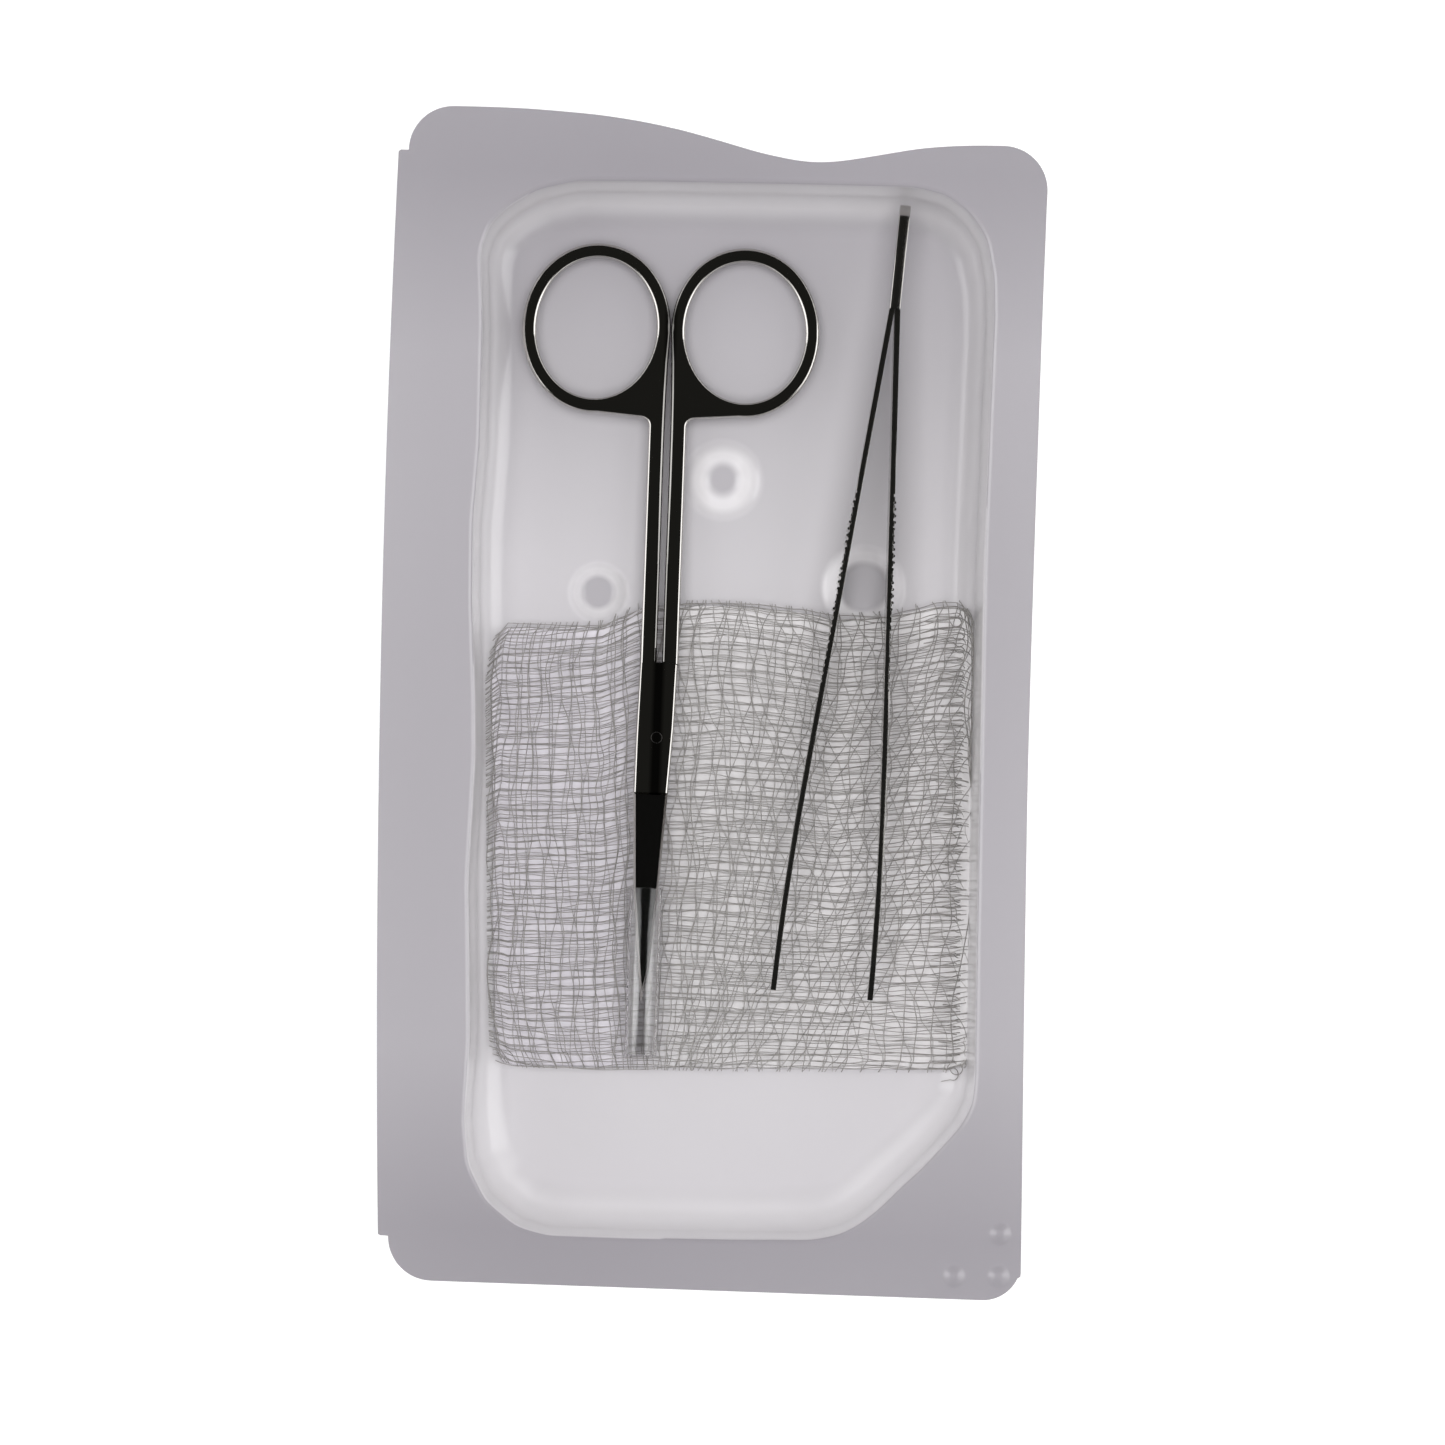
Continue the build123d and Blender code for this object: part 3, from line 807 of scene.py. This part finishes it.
def drape(x, y, height):
    """Height of a point of the sponge that would lie at height on a flat floor."""
    soft = 0.22 * (1 + ripple(x, y, 17.0, 5)) * np.clip(height / GAUZE_TOP, 0, 1)
    (way_x, way_y), dx, dy = CREASE_WAY, x - CREASE_START[0], y - CREASE_START[1]
    run = np.clip((dx * way_x + dy * way_y) / CREASE_LENGTH, 0, 1)
    aside = (dx * way_y - dy * way_x) / CREASE_WIDTH
    fold = CREASE_HEIGHT * np.exp(-(aside**2)) * np.sin(pi * run) ** 0.5
    return np.maximum(height + soft * 0.5 + fold, floor_height(x, y) + 0.18 + 0.22 * height)


def thread_paths(ply, weft_pitch, warp_pitch):
    """The threads of one ply as polylines in mm; ply 0 lies on top."""
    draw = np.random.default_rng(100 + ply)
    base = GAUZE_TOP - PLY_STEP * ply
    paths = []
    wefts = int(70.5 / weft_pitch / WEFT_SPREAD[ply])
    warps = int(72.5 / warp_pitch / WARP_SPREAD[ply])
    for i in range(wefts):
        s = np.linspace(0.0, 1.0, THREAD_POINTS)
        t = np.full(s.shape, (i + 0.5 + draw.uniform(-0.22, 0.22)) / wefts)
        x, y = gauze_xy(s, t)
        drift = ripple(x, y, 26.0, 20 + ply)
        own = ripple(x, y * 3, 7.0, 300 + ply * 97 + i)
        y = y + 0.75 * drift + 0.22 * own
        weave = WEAVE * np.sin(pi * (s * warps + i))
        paths.append(np.column_stack([x, y, drape(x, y, base) + weave]))
        if ply == 0:
            paths[-1] = with_fold_loop(paths[-1], draw)
    for i in range(warps):
        t = np.linspace(0.0, 1.0, THREAD_POINTS)
        lean = WARP_SKEW[ply] * (t - 0.5) * np.clip((i / warps - 0.25) * 2.2, 0, 1)
        s = np.clip((i + 0.5 + draw.uniform(-0.25, 0.25)) / warps + lean, 0.004, 0.996)
        x, y = gauze_xy(s, t)
        drift, own = ripple(x, y, 24.0, 40 + ply), ripple(x * 3, y, 7.5, 600 + ply * 83 + i)
        x = np.clip(x + drift + 0.42 * own, -33.9, 40.6)
        weave = -WEAVE * np.sin(pi * (t * wefts + i))
        paths.append(np.column_stack([x, y, drape(x, y, base) + weave]))
    return paths


def with_fold_loop(path, draw):
    """The thread carried round the right-hand fold in a loose loop and a little way back."""
    end = path[-3]
    radius = draw.uniform(0.65, 1.1)
    turns = np.linspace(0.1, pi * draw.uniform(1.0, 1.45), 12)
    x = end[0] + radius * 0.9 * np.sin(turns)
    y = end[1] - radius * (1 - np.cos(turns))
    back = np.linspace(0.5, draw.uniform(1.2, 4.5), 5)
    x = np.concatenate([x, x[-1] - back])
    y = np.concatenate([y, y[-1] - back * draw.uniform(-0.15, 0.25)])
    drop = np.linspace(0, 0.75, len(x))
    z = np.maximum(end[2] - drop, floor_height(x, y) + 0.3)
    return np.vstack([path[:-3], np.column_stack([x, y, z])])


def paths_mesh(name, paths):
    """Polylines in mm as a mesh of edges in metres."""
    points, edges = [], []
    for path in paths:
        start = len(points)
        points.extend(path * MM)
        edges.extend((start + i, start + i + 1) for i in range(len(path) - 1))
    mesh = bpy.data.meshes.new(name)
    mesh.from_pydata(points, edges, [])
    return mesh


def thread_tree():
    """Geometry nodes that turn edges into fine round threads with a small crimp."""
    tree = bpy.data.node_groups.new("spun_threads", "GeometryNodeTree")
    face = tree.interface
    face.new_socket("Geometry", in_out="INPUT", socket_type="NodeSocketGeometry")
    for label, kind, default in (
        ("Thread Radius", "NodeSocketFloat", 0.085 * MM),
        ("Sides", "NodeSocketInt", 4),
        ("Crimp", "NodeSocketFloat", 0.16 * MM),
        ("Crimp Scale", "NodeSocketFloat", 420.0),
        ("Seed", "NodeSocketFloat", 1.0),
    ):
        face.new_socket(label, in_out="INPUT", socket_type=kind).default_value = default
    face.new_socket("Material", in_out="INPUT", socket_type="NodeSocketMaterial")
    face.new_socket("Geometry", in_out="OUTPUT", socket_type="NodeSocketGeometry")
    start, end = tree.nodes.new("NodeGroupInput"), tree.nodes.new("NodeGroupOutput")
    curve = add_node(tree, "GeometryNodeMeshToCurve", Mesh=start.outputs["Geometry"])
    noise = add_node(
        tree, "ShaderNodeTexNoise", noise_dimensions="4D", W=start.outputs["Seed"],
        Scale=start.outputs["Crimp Scale"], Detail=1.0,
    )
    centred = add_node(
        tree, "ShaderNodeVectorMath", operation="SUBTRACT",
        _0=noise.outputs["Color"], _1=(0.5, 0.5, 0.5),
    )
    offset = add_node(
        tree, "ShaderNodeVectorMath", operation="SCALE",
        _0=centred.outputs[0], Scale=start.outputs["Crimp"],
    )
    moved = add_node(
        tree, "GeometryNodeSetPosition", Geometry=curve.outputs["Curve"], Offset=offset.outputs[0]
    )
    ring = add_node(
        tree, "GeometryNodeCurvePrimitiveCircle",
        Resolution=start.outputs["Sides"], Radius=start.outputs["Thread Radius"],
    )
    tube = add_node(
        tree, "GeometryNodeCurveToMesh",
        Curve=moved.outputs["Geometry"], Profile_Curve=ring.outputs["Curve"], Fill_Caps=True,
    )
    real = add_node(tree, "GeometryNodeRealizeInstances", Geometry=tube.outputs["Mesh"])
    painted = add_node(
        tree, "GeometryNodeSetMaterial",
        Geometry=real.outputs["Geometry"], Material=start.outputs["Material"],
    )
    tree.links.new(painted.outputs["Geometry"], end.inputs["Geometry"])
    return tree


def set_inputs(modifier, **values):
    """Sets a nodes modifier's inputs, each found by its label and written by its identifier."""
    for item in modifier.node_group.interface.items_tree:
        key = item.name.replace(" ", "_")
        if item.in_out == "INPUT" and key in values:
            modifier[item.identifier] = values[key]


def folded_cloth():
    """The sponge's cloth, folded across and then along, as one continuous sheet in metres."""
    count, fold, inset = 72, 0.08, 0.012
    run, back = np.linspace(0, 1, count), 1 + fold
    u = np.concatenate([run, 1 + fold / 4 * np.arange(1, 4), back + run])
    share = np.clip((u - 1) / fold, 0, 1)
    s = np.where(u <= 1, u, np.where(u < back, 1.0, 1 - (u - back)))
    s_grid, t_grid = np.meshgrid(s, s)
    a, b = np.meshgrid(share, share)
    bulge_x, bulge_y = 0.5 * np.sin(pi * a), 0.5 * np.sin(pi * b)
    upper = 1.1 - 0.2 * a
    lower = 0.3 + 0.2 * a
    z = upper + (lower - upper) * b
    wide = 1 - 2 * inset
    s_in, t_in = inset + wide * s_grid, 1 - (inset + wide * t_grid)
    x, y = gauze_xy(s_in, t_in)
    x, y = x + bulge_x, y - bulge_y
    z = drape(x.ravel(), y.ravel(), z.ravel()).reshape(z.shape) - 0.05
    points = np.column_stack([x.ravel(), y.ravel(), z.ravel()]) * MM
    n = len(s)
    faces = []
    for i in range(n - 1):
        for j in range(n - 1):
            a0 = i * n + j
            faces.append((a0, a0 + n, a0 + n + 1, a0 + 1))
    mesh = bpy.data.meshes.new("gauze_cloth")
    mesh.from_pydata(points, [], faces)
    mesh.shade_smooth()
    return new_piece("gauze_cloth", mesh)


# ------------------------------------------------------------------ forceps
EDGE_WIDTH = 0.13 * MM
RIDGES = np.arange(14.5, 31.5, 1.0) * MM
RIDGE_RADIUS, RIDGE_MARGIN = 0.24 * MM, 0.3 * MM


def edged_copy(name, node):
    """A copy of a frame piece with its sharp edges rounded."""
    source = frame["nodes"][node]
    mesh = source.data.copy()
    mesh.transform(source.matrix_world)
    shell = bmesh.new()
    shell.from_mesh(mesh)
    bmesh.ops.remove_doubles(shell, verts=shell.verts, dist=MERGE)
    bmesh.ops.dissolve_limit(
        shell, angle_limit=radians(0.6), verts=shell.verts, edges=shell.edges
    )
    joined = [edge for edge in shell.edges if len(edge.link_faces) == 2]
    bmesh.ops.bevel(
        shell, geom=[edge for edge in joined if edge.calc_face_angle() > SHARP],
        offset=EDGE_WIDTH, segments=2, profile=0.5, affect="EDGES", clamp_overlap=True,
    )
    bmesh.ops.recalc_face_normals(shell, faces=shell.faces)
    smooth = bpy.data.meshes.new(name)
    shell.to_mesh(smooth)
    shell.free()
    bpy.data.meshes.remove(mesh)
    if "custom_normal" in smooth.attributes:
        smooth.attributes.remove(smooth.attributes["custom_normal"])
    smooth.shade_smooth()
    smooth.set_sharp_from_angle(angle=SHARP)
    return new_piece(name, smooth)


def grip_ridges(name, leaf, side):
    """Fine upright ridges along the outer side of one arm's grip."""
    body = bmesh.new()
    body.from_mesh(leaf.data)
    tree = BVHTree.FromBMesh(body)
    body.free()
    spots = np.array([tuple(vertex.co) for vertex in leaf.data.vertices])
    ridges = bmesh.new()
    for y in RIDGES:
        z = spots[abs(spots[:, 1] - y) < 25 * MM, 2].mean()
        hit = tree.ray_cast(Vector((side * 0.2, y, z)), Vector((-side, 0, 0)))[0]
        if hit is None:
            continue
        x = hit.x - side * RIDGE_MARGIN
        top, foot = (
            tree.ray_cast(Vector((x, y, -0.1 * way)), Vector((0, 0, way)))[0] for way in (-1, 1)
        )
        if top is None or foot is None:
            continue
        middle = Vector((hit.x, y, (top.z + foot.z) / 2))
        bmesh.ops.create_cone(
            ridges, cap_ends=True, segments=16, radius1=RIDGE_RADIUS, radius2=RIDGE_RADIUS,
            depth=top.z - foot.z - RIDGE_MARGIN, matrix=Matrix.Translation(middle),
        )
    mesh = bpy.data.meshes.new(name)
    ridges.to_mesh(mesh)
    ridges.free()
    mesh.shade_smooth()
    mesh.set_sharp_from_angle(angle=SHARP)
    return new_piece(name, mesh)


# ------------------------------------------------------------------ operators
MARK_RADIUS, MARK_HEIGHT, MARK_HALF_WIDTH, MARK_RISE = 0.82, 1.232, 0.04, 0.025
GUARD_OUTER, GUARD_INNER, GUARD_LENGTH = 2.42 * MM, 2.15 * MM, 25.2 * MM
FLOOR_SIDE, FLOOR_DROP = 12.0, 0.1 * MM
SENSOR = 36.0


class SCENE_OT_tray(bpy.types.Operator):
    """Builds the film tray with its flange, well, pegs and dots"""

    bl_idname = "instrument_tray.tray"
    bl_label = "Film tray"

    def execute(self, context):
        settings = context.scene.tray_film
        vertices, faces = tray_surface()
        mesh = bpy.data.meshes.new("tray_film")
        mesh.from_pydata(vertices * MM, [], [tuple(map(int, face)) for face in faces])
        shell = bmesh.new()
        shell.from_mesh(mesh)
        bmesh.ops.remove_doubles(shell, verts=shell.verts, dist=MERGE)
        shell.to_mesh(mesh)
        shell.free()
        # the attribute holds the film's thinning together with painted light and shade
        drawn = mesh.attributes.new("drawn", "FLOAT", "POINT")
        spots = np.array([tuple(vertex.co) for vertex in mesh.vertices]) / MM
        drawn.data.foreach_set("value", drawn_and_lit_share(spots).astype(np.float32))
        tray = new_piece("tray_film", mesh)
        wall = tray.modifiers.new("thickness", "SOLIDIFY")
        wall.thickness = settings.film
        wall.offset = -1.0
        settled(tray)
        tray.data.shade_smooth()
        tray.data.set_sharp_from_angle(angle=radians(50))
        tray.data.materials.append(film_material(settings))
        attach(tray, "tray")
        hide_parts("tray_shell")
        return {"FINISHED"}


class SCENE_OT_gauze(bpy.types.Operator):
    """Builds the folded gauze sponge: its cloth and the threads of the plies that show"""

    bl_idname = "instrument_tray.gauze"
    bl_label = "Gauze sponge"

    def execute(self, context):
        settings = context.scene.gauze
        cloth = folded_cloth()
        cloth.data.materials.append(lint_material(settings))
        tree = thread_tree()
        top = thread_material("cotton_thread", settings.shaded_thread_colour)
        deep = thread_material("cotton_thread_below", settings.shaded_deep_colour)
        threads = []
        for ply in range(PLIES):
            name = f"gauze_threads_{ply + 1}"
            paths = thread_paths(ply, settings.weft_pitch / MM, settings.warp_pitch / MM)
            piece = new_piece(name, paths_mesh(name, paths))
            spin = piece.modifiers.new("threads", "NODES")
            spin.node_group = tree
            radius = settings.thread_radius * THREAD_SHARE[ply]
            cotton = deep if ply == 2 else top
            set_inputs(spin, Thread_Radius=radius, Seed=float(ply + 1), Material=cotton)
            settled(piece)
            piece.data.shade_smooth()
            threads.append(piece)
        for piece in [cloth, *threads]:
            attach(piece, "gauze")
        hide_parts("gauze_sponge")
        return {"FINISHED"}


class SCENE_OT_scissors(bpy.types.Operator):
    """Finishes the scissors in polished steel and adds the ring mark round the pivot"""

    bl_idname = "instrument_tray.scissors"
    bl_label = "Scissors"

    def execute(self, context):
        steel = scissors_material(context.scene.steel)
        for node in ("scissors_upper_half", "scissors_lower_half", "scissors_screw"):
            frame["nodes"][node].data.materials[0] = steel
        origin, across, _, up = scissors_axes()
        turns = np.linspace(0, 2 * pi, 10, endpoint=False)
        profile = [
            (MARK_RADIUS + MARK_HALF_WIDTH * cos(t), MARK_HEIGHT + MARK_RISE * sin(t))
            for t in turns
        ]
        profile = [(radius * MM, along * MM) for radius, along in profile]
        mark = turned_profile("pivot_ring_mark", profile, origin, up, across, 48)
        mark.data.materials.append(mark_material(context.scene.steel))
        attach(mark, "scissors_upper")
        return {"FINISHED"}


class SCENE_OT_tip_guard(bpy.types.Operator):
    """Builds the clear tube that covers the scissors' tips"""

    bl_idname = "instrument_tray.tip_guard"
    bl_label = "Tip guard"

    def execute(self, context):
        _, across, rings, _ = scissors_axes()
        low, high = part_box("tip_guard")
        lip, middle = (GUARD_OUTER - GUARD_INNER) / 2, (GUARD_OUTER + GUARD_INNER) / 2
        profile = [
            (middle + inset * cos(turn), end + inset * (1 - sin(turn)))
            for end, inset in ((0.0, lip), (GUARD_LENGTH, -lip))
            for turn in np.linspace(0, pi, 6)
        ]
        mouth = (low + high) / 2 + rings * (GUARD_LENGTH / 2)
        guard = turned_profile("tip_guard_tube", profile, mouth, -rings, across, 72)
        guard.data.materials.append(vinyl_material())
        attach(guard, "guard")
        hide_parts("tip_guard")
        return {"FINISHED"}


class SCENE_OT_forceps(bpy.types.Operator):
    """Finishes the forceps in satin steel"""

    bl_idname = "instrument_tray.forceps"
    bl_label = "Forceps"

    def execute(self, context):
        steel = forceps_material(context.scene.steel)
        for piece_name, node, body in (
            ("forceps_fork", "forceps_head", "forceps"),
            ("forceps_left_leaf", "forceps_left_arm", "forceps_left"),
            ("forceps_right_leaf", "forceps_right_arm", "forceps_right"),
        ):
            leaf = edged_copy(piece_name, node)
            leaf.data.materials.clear()
            leaf.data.materials.append(steel)
            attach(leaf, body)
            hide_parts(node)
            if body != "forceps":
                side = 1 if body == "forceps_right" else -1
                ridges = grip_ridges(body + "_grip", leaf, side)
                ridges.data.materials.append(steel)
                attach(ridges, body)
        return {"FINISHED"}


class SCENE_OT_stage(bpy.types.Operator):
    """Adds the pale floor, the soft lights and the camera straight above the tray"""

    bl_idname = "instrument_tray.stage"
    bl_label = "Floor, lights and camera"

    def execute(self, context):
        settings = context.scene.tray_stage
        scene = context.scene
        mesh = bpy.data.meshes.new("pale_floor")
        corners = ((-1, -1), (1, -1), (1, 1), (-1, 1))
        corners = [(FLOOR_SIDE * x, FLOOR_SIDE * y, -FLOOR_DROP) for x, y in corners]
        mesh.from_pydata(corners, [], [(0, 1, 2, 3)])
        floor = new_piece("pale_floor", mesh)
        material, tree, shader = new_material("pale_floor")
        fill(
            tree, shader, Base_Color=(0.95, 0.95, 0.95, 1.0), Roughness=0.9,
            Specular_IOR_Level=0.1, Emission_Color=(1.0, 1.0, 1.0, 1.0),
            Emission_Strength=settings.glow,
        )
        mesh.materials.append(material)

        for name, place, size, energy in (
            ("soft_left", (-0.85, 0.0, 0.55), (0.55, 1.3), settings.side_light),
            ("soft_right", (0.85, 0.0, 0.55), (0.55, 1.3), settings.side_light),
            ("fill_above", (0.0, 0.0, 1.1), (1.0, 1.0), settings.fill_light),
        ):
            light = bpy.data.lights.new(name, "AREA")
            light.shape = "RECTANGLE"
            light.size, light.size_y = size
            light.energy = energy
            lamp = bpy.data.objects.new(name, light)
            lamp.location = place
            lamp.rotation_euler = (-lamp.location).to_track_quat("-Z", "Y").to_euler()
            lamp.visible_glossy = lamp.visible_transmission = name != "fill_above"
            lamp.visible_diffuse = name == "fill_above"
            scene.collection.objects.link(lamp)

        world = bpy.data.worlds.new("studio")
        world.use_nodes = True
        scene.world = world
        tree = world.node_tree
        split = add_node(tree, "ShaderNodeSeparateXYZ", Vector=coordinates(tree, "Generated"))
        sideways = calc(tree, "ABSOLUTE", split.outputs["X"])
        sides = ranged(tree, sideways, 0.15, 0.65, 0.0, 1.0, smooth=True)
        around = mixed(tree, sides, (0.55, 0.55, 0.56), (1.25, 1.25, 1.25))
        lengthways = calc(tree, "ABSOLUTE", split.outputs["Y"])
        stretched = calc(tree, "MULTIPLY_ADD", lengthways, 0.38, split.outputs["Z"])
        dark_top = ranged(tree, stretched, 0.80, 0.93, 0.0, 1.0, smooth=True)
        colour = mixed(tree, dark_top, around, (0.02, 0.02, 0.018))
        fill(tree, tree.nodes["Background"], Color=colour, Strength=0.9)

        camera = bpy.data.objects.new("camera", bpy.data.cameras.new("camera"))
        camera.data.sensor_width = SENSOR
        camera.data.lens = SENSOR * settings.height / settings.view_width
        camera.data.clip_start = 0.01
        camera.location = (2.08 * MM, -2.85 * MM, 7.0 * MM + settings.height)
        camera.rotation_euler = (0.0, 0.0, settings.turn)
        scene.collection.objects.link(camera)
        scene.camera = camera
        scene.view_settings.view_transform = "Standard"
        return {"FINISHED"}


class VIEW3D_PT_instrument_tray(bpy.types.Panel):
    """Lists the pieces of the tray and their settings"""

    bl_label = "Instrument tray"
    bl_space_type = "VIEW_3D"
    bl_region_type = "UI"
    bl_category = "Instrument tray"

    def draw(self, context):
        for owner, operators in PANEL_ROWS:
            box = self.layout.box()
            for operator in operators:
                box.operator(operator)
            for prop in getattr(context.scene, owner).bl_rna.properties:
                if prop.identifier not in ("rna_type", "name"):
                    box.prop(getattr(context.scene, owner), prop.identifier)


PANEL_ROWS = (
    ("tray_film", ("instrument_tray.tray",)),
    ("gauze", ("instrument_tray.gauze",)),
    (
        "steel",
        ("instrument_tray.scissors", "instrument_tray.tip_guard", "instrument_tray.forceps"),
    ),
    ("tray_stage", ("instrument_tray.stage",)),
)
SETTINGS = {
    "tray_film": TrayFilmSettings,
    "gauze": GauzeSettings,
    "steel": SteelSettings,
    "tray_stage": StageSettings,
}
CLASSES = (
    *SETTINGS.values(),
    SCENE_OT_tray,
    SCENE_OT_gauze,
    SCENE_OT_scissors,
    SCENE_OT_tip_guard,
    SCENE_OT_forceps,
    SCENE_OT_stage,
    VIEW3D_PT_instrument_tray,
)


def register():
    for item in CLASSES:
        bpy.utils.register_class(item)
    for name, settings in SETTINGS.items():
        setattr(bpy.types.Scene, name, bpy.props.PointerProperty(type=settings))


def unregister():
    for name in SETTINGS:
        delattr(bpy.types.Scene, name)
    for item in reversed(CLASSES):
        bpy.utils.unregister_class(item)


def main():
    register()
    bpy.ops.instrument_tray.tray()
    bpy.ops.instrument_tray.gauze()
    bpy.ops.instrument_tray.scissors()
    bpy.ops.instrument_tray.tip_guard()
    bpy.ops.instrument_tray.forceps()
    bpy.ops.instrument_tray.stage()


if __name__ == "__main__":
    main()
